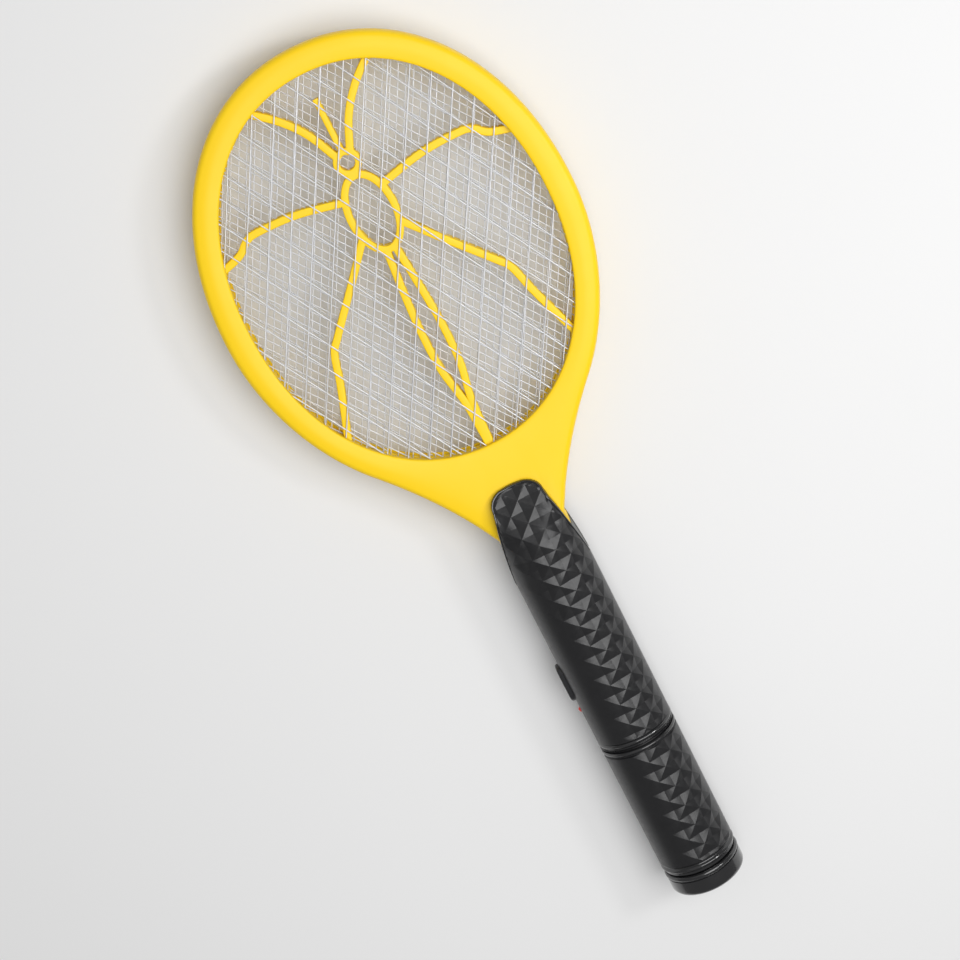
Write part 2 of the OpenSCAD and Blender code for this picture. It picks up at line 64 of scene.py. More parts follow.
# head: a superellipse above and below HEAD_CY, then a curve by way of the knee to the yoke's corner
HEAD_A, HEAD_CY, HEAD_TOP, HEAD_LOW = 85.5, 142.0, 247.99, 108.0
HEAD_N_TOP, HEAD_N_LOW = 2.1, 1.9
FLARE_Y = 60.0
FLARE_KNEE = (30.2, 35.0)
YOKE = (16.7, 8.0)
YOKE_LOW = 1.0
HALF_T = 7.5
OPEN_A, OPEN_B, OPEN_Y, OPEN_N = 73.3, 92.0, 144.0, 2.1

# channel round the opening, and the neck as (half width, low end, half thickness)
CHANNEL = 5.0
LIP_Z = 4.7
NECK = (13.5, -14.0, 6.0)

# frame screws, on a line SCREW_LINE outside the opening, and the holes that every screw shares
SCREW_ANGLES = (20, 58, 96, 134)
SCREW_LINE = 8.4
YOKE_SCREW = (11.0, 38.0)
RECESS_R, RECESS_DEPTH = 2.5, 2.0
PILOT_R, CLEAR_R = 1.22, 1.5

# grids: the wires of each family lie a little above or below the grid's own height
GRID_EDGE, EDGE_GAP = 3.2, 0.5
OUTER_Z, OUTER_ANGLE, OUTER_PITCH, OUTER_R = 4.2, 30.0, 9.55, 0.33
MIDDLE_ANGLES, MIDDLE_PITCH, MIDDLE_R = (-37.0, 29.0), 3.4, 0.27
OUTER_LAYER, MIDDLE_LAYER = 0.07, 0.12

# ribs of the right-hand side, each a smooth curve through a few points
RIBS = {
    "top": [(2.6, 196), (9.7, 211.2), (18.5, 222.3), (30, 232)],
    "side": [(9, 178.5), (30.7, 183), (49.3, 183.8), (55.5, 182.4), (61.5, 177.9), (73.5, 174.5)],
    "low": [(8.5, 161.5), (23.2, 144.5), (39.5, 126.1), (44.2, 119.8), (48.5, 105.5), (57.5, 80)],
    "tail": [(2.2, 151), (4.3, 126), (5.1, 108.5), (4.5, 91), (1.6, 74), (0.4, 51)],
}
RIB_W, RIB_EDGE = 3.5, 0.5
RIB_Z = (0.5, 3.7)

# body ring as (half width, half length, y, rib width), head ring as (radius, y, rib width), and the spur
BODY_RING = (12.0, 19.5, 169.3, 3.4)
HEAD_RING = (6.4, 193.6, 3.0)
SNOUT = [(0, 198), (0, 211), (0, 224)]

# upper grip: its bore ends at the wall that the frame's neck goes through
GRIP_R = 19.2
BORE_R, BORE_END = 17.2, -8.0
GRIP_LOW = -106.9
TONGUE_TIP = 31.6
TAPER_Y, TAPER_K = -24.0, 0.0029
TIP_ROOT, TIP_N = 23.0, 2.3
SLOPE_Y, SLOPE_Z = 2.0, 9.7
FIT_GAP = 0.1

# grip screws as (x, y, depth of the recess's floor)
GRIP_SCREWS = ((10.5, 0.0, 11), (12.0, -93.0, 8))

# lower barrel and end cap
BARREL_TOP, BARREL_LOW, BARREL_BORE = -107.9, -179.4, 16.0
COLLAR_R, COLLAR_TOP, COLLAR_EDGE = 17.1, -99.0, 0.4
SEAM_R = 18.1
CAP_TOP, CAP_PLUG_R, CAP_PLUG_TOP = -180.4, 15.9, -176.0
CAP_EDGE, CAP_INSET = 3.0, 0.3

# glossy beads at the seams, and where the moulded surface between them starts and ends
BEAD_HALF, GROOVE_DEPTH = 1.25, 1.0
UPPER_BEAD, LOWER_BEADS, CAP_BEAD = -104.7, (-109.3, -177.0), -181.8
UPPER_START = -103.1
LOWER_START, LOWER_END = -175.3, -110.9
SEAM_STEP = 0.25

# moulded pits on a lattice: columns round the handle and rows along it, each cell cut into CUTS
COLUMN = math.radians(18.0) * GRIP_R
QUARTER = 5
UPPER_ROW, UPPER_REF = 5.43, -24.6
LOWER_ROW, LOWER_REF = 5.575, -122.5
RELIEF = 1.0
SMOOTH_DEPTH = 0.2
CUTS = 4
FACET_ANGLE = 11

# smooth left side, in millimetres round from the centreline, and the widths over which the pits fade
SMOOTH_LOW, SMOOTH_NECK, SMOOTH_CHANGE_Y = 4.5, 13.0, -50.0
LEFT_FADE, RIGHT_EDGE, RIGHT_FADE = 4.0, 26.0, 6.0

# raised bead round the tongue's edge
RIM_R, RIM_LOW, RIM_GROW, RIM_GROOVE = 0.55, -15.0, 14.0, 0.3
PLAIN_EDGE = 0.8

# push button and lamp
BUTTON_Y, BUTTON_W, BUTTON_L, BUTTON_OUT = -70.0, 9.0, 20.0, 1.6
BUTTON_GAP = 0.6
FLANGE_X, FLANGE_OVER = (-15.5, -14.3), 3.0
STEM_R, STEM_X = 2.0, (-14.8, -12.2)
LED_Y, LED_R = -85.5, 1.5

# camera, in metres and degrees
CAMERA_AT = (0.06705, 0.25311, 0.91178)
CAMERA_ROLL, CAMERA_TILT, CAMERA_YAW = 27.10, 15.07, -4.91
CAMERA_LENS, CAMERA_SHIFT = 75.98, (-0.0022, -0.0073)


# ---- curves ----

def superellipse(a, b, n, degrees):
    c, s = math.cos(math.radians(degrees)), math.sin(math.radians(degrees))
    return Vector((a * math.copysign(abs(c) ** (2 / n), c), b * math.copysign(abs(s) ** (2 / n), s)))


def oval(grow, degrees):
    return Vector((0, OPEN_Y)) + superellipse(OPEN_A + grow, OPEN_B + grow, OPEN_N, degrees)


def smooth_curve(points, steps):
    """Catmull-Rom curve through the points."""
    p = [Vector(q) for q in points]
    p = [2 * p[0] - p[1]] + p + [2 * p[-1] - p[-2]]
    made = []
    for i in range(1, len(p) - 2):
        a, b, c, d = p[i - 1:i + 3]
        for k in range(steps):
            t = k / steps
            made.append(0.5 * (2 * b + (c - a) * t + (2 * a - 5 * b + 4 * c - d) * t * t
                               + (3 * b - a - 3 * c + d) * t ** 3))
    return made + [p[-2]]


def tangent(points, i, closed=False):
    n = len(points)
    before = points[(i - 1) % n] if closed else points[max(i - 1, 0)]
    after = points[(i + 1) % n] if closed else points[min(i + 1, n - 1)]
    return (after - before).normalized()


def outline_right(steps=72):
    """Outer edge of the frame from the top of the head down its right side to the yoke's corner."""
    side = math.degrees(math.asin(((HEAD_CY - FLARE_Y) / HEAD_LOW) ** (HEAD_N_LOW / 2)))
    centre = Vector((0, HEAD_CY))
    upper = [centre + superellipse(HEAD_A, HEAD_TOP - HEAD_CY, HEAD_N_TOP, 90 - 90 * i / steps)
             for i in range(steps + 1)]
    lower = [centre + superellipse(HEAD_A, HEAD_LOW, HEAD_N_LOW, -side * i / steps)
             for i in range(1, steps + 1)]
    a, b, c = lower[-1], Vector(FLARE_KNEE), Vector(YOKE)
    flare = [(1 - t) ** 2 * a + 2 * t * (1 - t) * b + t * t * c for t in (i / 24 for i in range(1, 25))]
    return upper + lower + flare + [Vector((YOKE[0], YOKE_LOW))]


# ---- meshes ----

def row_frame(p):
    return Vector(p) * MM + ORIGIN


def new_object(name, bm, materials, smooth_angle=None):
    bmesh.ops.recalc_face_normals(bm, faces=bm.faces)
    mesh = bpy.data.meshes.new(name)
    bm.to_mesh(mesh)
    bm.free()
    obj = bpy.data.objects.new(name, mesh)
    bpy.context.scene.collection.objects.link(obj)
    for m in materials:
        mesh.materials.append(m)
    if smooth_angle is not None:
        shade(obj, smooth_angle)
    return obj


def shade(obj, degrees):
    """Smooth shading with sharp edges where faces meet at more than this angle."""
    obj.data.shade_smooth()
    bm = bmesh.new()
    bm.from_mesh(obj.data)
    for e in bm.edges:
        flat = len(e.link_faces) == 2 and e.calc_face_angle(0) < math.radians(degrees)
        e.smooth = flat
    bm.to_mesh(obj.data)
    bm.free()


def add_loops(bm, loops, closed_along=False):
    """Closed skin over loops of points; each loop has the same number of points."""
    rings = [[bm.verts.new(row_frame(p)) for p in loop] for loop in loops]
    count = len(rings[0])
    spans = len(rings) if closed_along else len(rings) - 1
    for i in range(spans):
        a, b = rings[i], rings[(i + 1) % len(rings)]
        for k in range(count):
            m = (k + 1) % count
            bm.faces.new((a[k], a[m], b[m], b[k]))
    if not closed_along:
        bm.faces.new(rings[0][::-1])
        bm.faces.new(rings[-1])


def boolean(obj, other, operation):
    """Applies an exact boolean and removes the other object."""
    m = obj.modifiers.new("cut", "BOOLEAN")
    m.object = other
    m.operation = operation
    m.solver = "EXACT"
    bpy.context.view_layer.update()
    evaluated = obj.evaluated_get(bpy.context.evaluated_depsgraph_get())
    mesh = bpy.data.meshes.new_from_object(evaluated)
    obj.modifiers.clear()
    obj.data = mesh
    bpy.data.objects.remove(other)


def tube_loops(points, r, sides=8, closed=False, up=Vector((0, 0, 1))):
    """Rings of a round tube along 3-D points; r is one radius or a list of them."""
    radii = r if isinstance(r, list) else [r] * len(points)
    loops = []
    for i, (p, r) in enumerate(zip(points, radii)):
        t = tangent(points, i, closed)
        u = t.cross(up).normalized()
        v = u.cross(t)
        loops.append([p + r * (math.cos(a) * u + math.sin(a) * v)
                      for a in (2 * math.pi * k / sides for k in range(sides))])
    return loops


def add_cylinder(bm, r, start, end, sides=32):
    add_loops(bm, tube_loops([Vector(start), Vector(end)], r, sides, up=Vector((0.3, 1, 0.2))))


def add_box(bm, low, high):
    x0, y0, z0 = low
    x1, y1, z1 = high
    add_loops(bm, [[(x0, y0, z), (x1, y0, z), (x1, y1, z), (x0, y1, z)] for z in (z0, z1)])


def lathe(bm, profile, sides=160):
    """Solid of revolution about the handle's axis from (radius, y) points, closed on itself."""
    loops = []
    for k in range(sides):
        a = 2 * math.pi * k / sides
        loops.append([(r * math.sin(a), y, r * math.cos(a)) for r, y in profile])
    add_loops(bm, loops, closed_along=True)
    bmesh.ops.remove_doubles(bm, verts=bm.verts, dist=1e-7)
    bmesh.ops.dissolve_degenerate(bm, edges=bm.edges, dist=1e-7)


def stands_for(obj, body, slot, *nodes):
    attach(obj, body)
    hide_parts(*nodes)
    return obj


# ---- materials ----

def material(name, colour, roughness, metallic=0.0, coat=0.0, specular=0.5, mottle=0.06,
             mottle_scale=60.0, rough_swing=0.08, grain=0.0, grain_scale=2500.0):
    """Moulded plastic, metal or lacquer: slight colour drift, uneven gloss, and a fine surface grain."""
    m = bpy.data.materials.new(name)
    m.use_nodes = True
    nodes, links = m.node_tree.nodes, m.node_tree.links
    shader = nodes["Principled BSDF"]
    shader.inputs["Metallic"].default_value = metallic
    shader.inputs["Coat Weight"].default_value = coat
    shader.inputs["Specular IOR Level"].default_value = specular
    shader.inputs["Coat Roughness"].default_value = 0.12
    where = nodes.new("ShaderNodeTexCoord").outputs["Object"]

    def noise(scale, detail):
        n = nodes.new("ShaderNodeTexNoise")
        n.inputs["Scale"].default_value = scale
        n.inputs["Detail"].default_value = detail
        links.new(where, n.inputs["Vector"])
        return n.outputs["Fac"]

    drift = nodes.new("ShaderNodeMapRange")
    drift.inputs["To Min"].default_value = 1 - mottle
    drift.inputs["To Max"].default_value = 1 + mottle
    links.new(noise(mottle_scale, 4), drift.inputs["Value"])
    tint = nodes.new("ShaderNodeHueSaturation")
    tint.inputs["Color"].default_value = (*colour, 1)
    links.new(drift.outputs["Result"], tint.inputs["Value"])
    links.new(tint.outputs["Color"], shader.inputs["Base Color"])
    gloss = nodes.new("ShaderNodeMapRange")
    gloss.inputs["To Min"].default_value = max(roughness - rough_swing, 0.03)
    gloss.inputs["To Max"].default_value = min(roughness + rough_swing, 1)
    links.new(noise(mottle_scale * 3, 5), gloss.inputs["Value"])
    links.new(gloss.outputs["Result"], shader.inputs["Roughness"])
    if grain:
        bump = nodes.new("ShaderNodeBump")
        bump.inputs["Strength"].default_value = grain
        bump.inputs["Distance"].default_value = 0.0001
        links.new(noise(grain_scale, 3), bump.inputs["Height"])
        links.new(bump.outputs["Normal"], shader.inputs["Normal"])
    return m


YELLOW = material("yellow_plastic", (0.98, 0.65, 0.009), 0.4, specular=0.3, mottle=0.025,
                  mottle_scale=25, grain=0.12, grain_scale=1800)
BLACK = material("black_satin", (0.010, 0.010, 0.011), 0.35, mottle=0.25, mottle_scale=160,
                 rough_swing=0.14, grain=0.4, grain_scale=1100)
BLACK_GLOSS = material("black_gloss", (0.012, 0.012, 0.013), 0.2, coat=0.7, mottle=0.15, grain=0.06)
WIRE = material("galvanised_wire", (0.70, 0.71, 0.74), 0.42, metallic=0.6, mottle=0.12,
                mottle_scale=300, rough_swing=0.12)
BUTTON = material("button_plastic", (0.02, 0.02, 0.022), 0.25, mottle=0.1, grain=0.08)
INNER = {
    "screw_steel": material("zinc_steel", (0.62, 0.62, 0.64), 0.3, 1.0, mottle=0.1, mottle_scale=400),
    "inner_plastic": material("inner_plastic", (0.05, 0.05, 0.055), 0.5, mottle=0.15, grain=0.3),
    "led_lens": material("led_lens", (0.75, 0.03, 0.02), 0.12, coat=0.6, mottle=0.08),
    "board": material("solder_mask", (0.02, 0.2, 0.07), 0.3, coat=0.3, mottle=0.2, mottle_scale=200),
    "ferrite": material("ferrite", (0.06, 0.06, 0.065), 0.7, 0.2, mottle=0.3, grain=0.5),
    "winding": material("winding_tape", (0.8, 0.5, 0.06), 0.35, mottle=0.1, grain=0.2, grain_scale=900),
    "film_capacitor": material("dipped_brown", (0.32, 0.05, 0.02), 0.25, coat=0.3, mottle=0.1),
    "ceramic_capacitor": material("dipped_blue", (0.05, 0.13, 0.42), 0.25, coat=0.3, mottle=0.1),
    "component_black": material("epoxy_black", (0.02, 0.02, 0.02), 0.5, mottle=0.2, grain=0.4),
    "resistor_body": material("resistor_lacquer", (0.6, 0.42, 0.22), 0.3, coat=0.3, mottle=0.1),
    "wire_red": material("lead_red", (0.5, 0.02, 0.015), 0.45, mottle=0.1, grain=0.2),
    "wire_black": material("lead_black", (0.015, 0.015, 0.015), 0.45, mottle=0.2, grain=0.2),
    "contact_metal": material("nickel", (0.75, 0.74, 0.7), 0.22, 1.0, mottle=0.06, mottle_scale=300),
    "cell_wrap": material("cell_wrap", (0.04, 0.14, 0.4), 0.22, coat=0.4, mottle=0.08),
}


# ---- yellow frame ----

def frame_rays(steps=84):
    """Pairs of points across the frame's right half: one on the opening and one on the outer edge,
    in line with the opening's outward normal, with both normals."""
    edge = outline_right() + [Vector((0, YOKE_LOW))]
    angles = [90 - 180 * i / steps for i in range(steps + 1)]
    inner = [oval(0, a) for a in angles]
    pairs = []
    for i, a in enumerate(angles):
        ahead, behind = oval(0, a - 0.4), oval(0, a + 0.4)
        t = (ahead - behind).normalized()
        n = Vector((-t.y, t.x))
        if i in (0, steps):
            n = Vector((0, 1 if i == 0 else -1))
        best = None
        for p, q in zip(edge, edge[1:]):
            e = q - p
            det = n.x * -e.y + n.y * e.x
            if abs(det) < 1e-12:
                continue
            w = p - inner[i]
            s = (w.x * -e.y + w.y * e.x) / det
            k = (n.x * w.y - n.y * w.x) / det
            if s > 0 and -1e-6 <= k <= 1 + 1e-6 and (best is None or s < best[0]):
                best = (s, p + e * k, Vector((-e.y, e.x)).normalized())
        pairs.append([inner[i], n, best[1], best[2]])
    for corner in (Vector(YOKE), Vector((YOKE[0], YOKE_LOW))):
        nearest = min(pairs, key=lambda p: (p[2] - corner).length)
        nearest[2] = corner
    return pairs


# half section of the rim: (distance in from an edge, z) near the opening and near the outer edge, and
# (share of the way between them, z) across the crown
INNER_PROFILE = [(CHANNEL, 0), (CHANNEL, LIP_Z), (0.25, LIP_Z), (0, LIP_Z + 0.25), (0, 6.35),
                 (0.12, 6.6), (0.4, 6.82), (0.95, 6.98), (1.8, 7.16)]
CROWN_PROFILE = [(0.3, 7.36), (0.5, HALF_T), (0.7, 7.4)]
OUTER_PROFILE = [(2.9, 7.2), (2.1, 7.0), (1.4, 6.62), (0.8, 6.0), (0.35, 5.15), (0.1, 4.2), (0, 3.2),
                 (0, 0.3), (0.25, 0)]


def frame_section(pair):
    """One closed section of the front half shell, between the opening and the outer edge."""
    inner, n, outer, m = pair
    made = [(inner + n * d, z) for d, z in INNER_PROFILE]
    start, end = inner + n * INNER_PROFILE[-1][0], outer - m * OUTER_PROFILE[0][0]
    made += [(start.lerp(end, k), z) for k, z in CROWN_PROFILE]
    made += [(outer - m * d, z) for d, z in OUTER_PROFILE]
    return [(p.x, p.y, z) for p, z in made]


def mirror_x(loop):
    return [(-x, y, z) for x, y, z in loop]


def screw_points():
    found = [oval(SCREW_LINE, 90 - a) for a in SCREW_ANGLES] + [Vector(YOKE_SCREW)]
    return [Vector((side * p.x, p.y)) for p in found for side in (-1, 1)]


def frame_shell(name, node, side):
    """Half shell of the head; side is 1 at the front and -1 at the back."""
    pairs = frame_rays()
    right = [frame_section(p) for p in pairs]
    loops = right + [mirror_x(s) for s in right[-2:0:-1]]
    loops = [[(x, y, side * z) for x, y, z in loop] for loop in loops]
    bm = bmesh.new()
    add_loops(bm, loops, closed_along=True)
    shell = new_object(name, bm, [YELLOW])
    half_w, low, half_t = NECK
    bm = bmesh.new()
    z = sorted((0, side * half_t))
    add_box(bm, (-half_w, low, z[0]), (half_w, YOKE[1] + 3, z[1]))
    bmesh.ops.bevel(bm, geom=[e for e in bm.edges if abs(e.verts[0].co.y - e.verts[1].co.y) > 0.01],
                    offset=0.8 * MM, segments=3, affect="EDGES", profile=0.5)
    boolean(shell, new_object("neck", bm, [YELLOW]), "UNION")
    bm = bmesh.new()
    z = sorted((-side, side * 2))
    add_box(bm, (-3, low - 1, z[0]), (3, OPEN_Y - OPEN_B - 1, z[1]))
    for p in screw_points():
        if side < 0:
            add_cylinder(bm, CLEAR_R, (p.x, p.y, -HALF_T - 1), (p.x, p.y, 1))
        else:
            add_cylinder(bm, PILOT_R, (p.x, p.y, -1), (p.x, p.y, 5))
    x, y, _ = GRIP_SCREWS[0]
    for s in (-1, 1):
        add_cylinder(bm, CLEAR_R, (s * x, y, -9), (s * x, y, 9))
    boolean(shell, new_object("cut", bm, [YELLOW]), "DIFFERENCE")
    if side < 0:
        bm = bmesh.new()
        for p in screw_points():
            add_cylinder(bm, RECESS_R, (p.x, p.y, -HALF_T - 1), (p.x, p.y, RECESS_DEPTH - HALF_T))
        boolean(shell, new_object("recess", bm, [YELLOW]), "DIFFERENCE")
    shade(shell, 28)
    return stands_for(shell, "root", "frame_plastic", node)


# ---- grids ----

def inside(p, grow):
    x, y = abs(p.x) / (OPEN_A + grow), abs(p.y - OPEN_Y) / (OPEN_B + grow)
    return x ** OPEN_N + y ** OPEN_N - 1


def crossing(start, direction, grow):
    """Where a line that leaves a point inside the oval crosses it."""
    low, high = 0.0, 2.5 * OPEN_B
    for _ in range(40):
        mid = (low + high) / 2
        if inside(start + direction * mid, grow) < 0:
            low = mid
        else:
            high = mid
    return start + direction * low


def wire_lines(angle, pitch, grow):
    """Straight wires at an angle to Y, cut to the opening."""
    along = Vector((math.sin(math.radians(angle)), math.cos(math.radians(angle))))
    across = Vector((along.y, -along.x))
    centre = Vector((0, OPEN_Y))
    count = math.ceil(OPEN_B / pitch)
    lines = []
    for i in range(-count, count + 1):
        foot = centre + across * (i * pitch)
        tries = [foot + along * t for t in range(-60, 61, 4)]
        start = min(tries, key=lambda p: inside(p, grow))
        if inside(start, grow) < -0.02:
            lines.append((crossing(start, -along, grow), crossing(start, along, grow)))
    return lines


def add_wire(bm, a, b, z, r, sides=8):
    points = [Vector((*a.lerp(b, k), z)) for k in (0, 0.5, 1)]
    add_loops(bm, tube_loops(points, r, sides))


def grid(name, node, families, r):
    bm = bmesh.new()
    for angle, pitch, z in families:
        for a, b in wire_lines(angle, pitch, GRID_EDGE - EDGE_GAP):
            add_wire(bm, a, b, z, r)
    return stands_for(new_object(name, bm, [WIRE], 50), "root", "mesh_wire", node)


# ---- rib webs ----

def rounded_section(width, z0, z1, r, corner=3):
    """Points (across, z) of a rectangle with rounded corners."""
    made = []
    for cx, cz, start in ((width / 2 - r, z1 - r, 0), (r - width / 2, z1 - r, 90),
                          (r - width / 2, z0 + r, 180), (width / 2 - r, z0 + r, 270)):
        for k in range(corner + 1):
            a = math.radians(start + 90 * k / corner)
            made.append((cx + r * math.cos(a), cz + r * math.sin(a)))
    return made


def rib_solid(points, width, side, closed=False):
    """A rib with rounded edges along a flat curve."""
    section = rounded_section(width, RIB_Z[0], RIB_Z[1], RIB_EDGE)
    loops = []
    for i, p in enumerate(points):
        t = tangent(points, i, closed)
        n = Vector((t.y, -t.x))
        loops.append([(p.x + n.x * u, p.y + n.y * u, side * z) for u, z in section])
    bm = bmesh.new()
    add_loops(bm, loops, closed_along=closed)
    return new_object("rib", bm, [YELLOW])


def rib_web(name, node, side):
    """Ribs, body ring and head ring of one face, merged, with the rim that the frame's channel holds."""
    parts = []
    for rib in RIBS.values():
        curve = smooth_curve(rib, 7)
        for s in (1, -1):
            parts.append(rib_solid([Vector((s * p.x, p.y)) for p in curve], RIB_W, side))
    a, b, y, w = BODY_RING
    parts.append(rib_solid([Vector((0, y)) + superellipse(a - w / 2, b - w / 2, 2, 360 * k / 64)
                            for k in range(64)], w, side, closed=True))
    r, y, w = HEAD_RING
    parts.append(rib_solid([Vector((0, y)) + superellipse(r - w / 2, r - w / 2, 2, 360 * k / 36)
                            for k in range(36)], w, side, closed=True))
    parts.append(rib_solid([Vector(p) for p in SNOUT], RIB_W * 0.8, side))
    middle = (GRID_EDGE + EDGE_GAP) / 2
    parts.append(rib_solid([oval(middle, 360 * k / 144) for k in range(144)], GRID_EDGE - EDGE_GAP,
                           side, closed=True))
    web = parts[0]
    for p in parts[1:]:
        boolean(web, p, "UNION")
    web.name = name
    shade(web, 35)
    return stands_for(web, "root", "frame_plastic", node)


# ---- grips ----

def slope_z(y):
    """Height of the tongue's sloping top."""
    if y <= SLOPE_Y:
        return GRIP_R
    return GRIP_R + (SLOPE_Z - GRIP_R) * (y - SLOPE_Y) / (TONGUE_TIP + 1 - SLOPE_Y)


def half_width(y):
    """Half of the upper grip's width seen from the front."""
    if y <= TAPER_Y:
        return GRIP_R
    if y <= TIP_ROOT:
        return GRIP_R - TAPER_K * (y - TAPER_Y) ** 2
    root = GRIP_R - TAPER_K * (TIP_ROOT - TAPER_Y) ** 2
    rest = min((y - TIP_ROOT) / (TONGUE_TIP - TIP_ROOT), 1)
    return root * (1 - rest ** TIP_N) ** (1 / TIP_N)


def bare_point(a, y):
    """(x, z) of the grip's front surface, a millimetres round from the front centreline."""
    z = slope_z(y)
    flat = math.sqrt(max(GRIP_R ** 2 - z ** 2, 0))
    if abs(a) <= flat:
        return Vector((a, z))
    turn = math.copysign(math.asin(flat / GRIP_R) + (abs(a) - flat) / GRIP_R, a)
    return GRIP_R * Vector((math.sin(turn), math.cos(turn)))


def top_point(a, y, depth):
    """The same surface with the slope's edges rounded, at a depth below it."""
    flat = math.sqrt(max(GRIP_R ** 2 - slope_z(y) ** 2, 0))
    spread = min(flat / 2, 3.5, 0.3 + 0.6 * max(reach(y) - abs(a), 0))
    near = [bare_point(a + spread * k, y) for k in (-2, -1, 0, 1, 2)]
    x, z = (near[0] + 2 * near[1] + 2 * near[2] + 2 * near[3] + near[4]) / 8
    along = bare_point(a + 2 * spread + 0.2, y) - bare_point(a - 2 * spread - 0.2, y)
    down = Vector((along.y, -along.x)).normalized() * depth
    return Vector((x + down.x, y, z + down.y))


def reach(y):
    """How far round the front surface goes before it meets the side wall."""
    z = slope_z(y)
    flat = math.sqrt(max(GRIP_R ** 2 - z ** 2, 0))
    w = half_width(y)
    if w <= flat:
        return w
    return flat + GRIP_R * (math.asin(w / GRIP_R) - math.asin(flat / GRIP_R))


def round_point(a, y, depth):
    """Point of the lower barrel's surface, a millimetres round from the front centreline."""
    turn, r = a / GRIP_R, GRIP_R - depth
    return Vector((r * math.sin(turn), y, r * math.cos(turn)))


def ease(x):
    x = min(max(x, 0), 1)
    return x * x * (3 - 2 * x)


def smooth_side(y):
    """Where the smooth left side begins, in millimetres left of the front centreline."""
    share = ease((y - SMOOTH_CHANGE_Y) / -SMOOTH_CHANGE_Y)
    return SMOOTH_LOW + (SMOOTH_NECK - SMOOTH_LOW) * share


def lattice_depth(column, row, y, side_of):
    """Depth of a lattice point: pits and high points alternate like a chessboard, and both fade out
    towards the smooth left side and the right edge."""
    moulded = RELIEF if (column + row) % 2 == 0 else 0.0
    side = side_of(column * COLUMN)
    left = ease((side + smooth_side(y)) / LEFT_FADE + 0.5)
    mask = left * ease((RIGHT_EDGE - side) / RIGHT_FADE)
    return SMOOTH_DEPTH + (moulded - SMOOTH_DEPTH) * mask


def facet_depth(a, y, row_len, ref, side_of=float):
    """Depth of the flat facets that join neighbouring lattice points."""
    u, v = a / COLUMN, (y - ref) / row_len
    i, j = math.floor(u + 1e-9), math.floor(v + 1e-9)
    u, v = u - i, v - j

    def corner(di, dj):
        return lattice_depth(i + di, j + dj, ref + (j + dj) * row_len, side_of)

    if (i + j) % 2 == 0:
        if u + v <= 1:
            return corner(0, 0) * (1 - u - v) + corner(1, 0) * u + corner(0, 1) * v
        return corner(1, 1) * (u + v - 1) + corner(1, 0) * (1 - v) + corner(0, 1) * (1 - u)
    if u >= v:
        return corner(0, 0) * (1 - u) + corner(1, 0) * (u - v) + corner(1, 1) * v
    return corner(0, 0) * (1 - v) + corner(0, 1) * (v - u) + corner(1, 1) * u


def beads(y, centres, start, end):
    """Depth near a seam: glossy beads with grooves beside them, between start and end."""
    for c in centres:
        if abs(y - c) < BEAD_HALF:
            return GROOVE_DEPTH * (1 - math.cos(math.pi / 2 * (y - c) / BEAD_HALF))
    return GROOVE_DEPTH if start < y < end else SMOOTH_DEPTH


def rows(low, high, step, ref, fine):
    """Rows on the lattice's own lines, plus closely set rows in the fine ranges."""
    first = math.ceil((low - ref) / step)
    made = [ref + step * k for k in range(first, math.floor((high - ref) / step) + 1)]
    for a, b, gap in fine:
        made = [y for y in made if not a - 0.2 < y < b + 0.2]
        count = max(2, round((b - a) / gap))
        made += [a + (b - a) * k / count for k in range(count + 1)]
    return sorted(set(made) | {low, high})


def split(bm, verts, even):
    """One cell of the skin as two triangles, cut the way the facets are cut."""
    a, b, c, d = verts
    triples = ((a, b, d), (b, c, d)) if even else ((a, b, c), (a, c, d))
    made = []
    for t in triples:
        if len(set(t)) == 3:
            made.append(bm.faces.new(t))
    return made


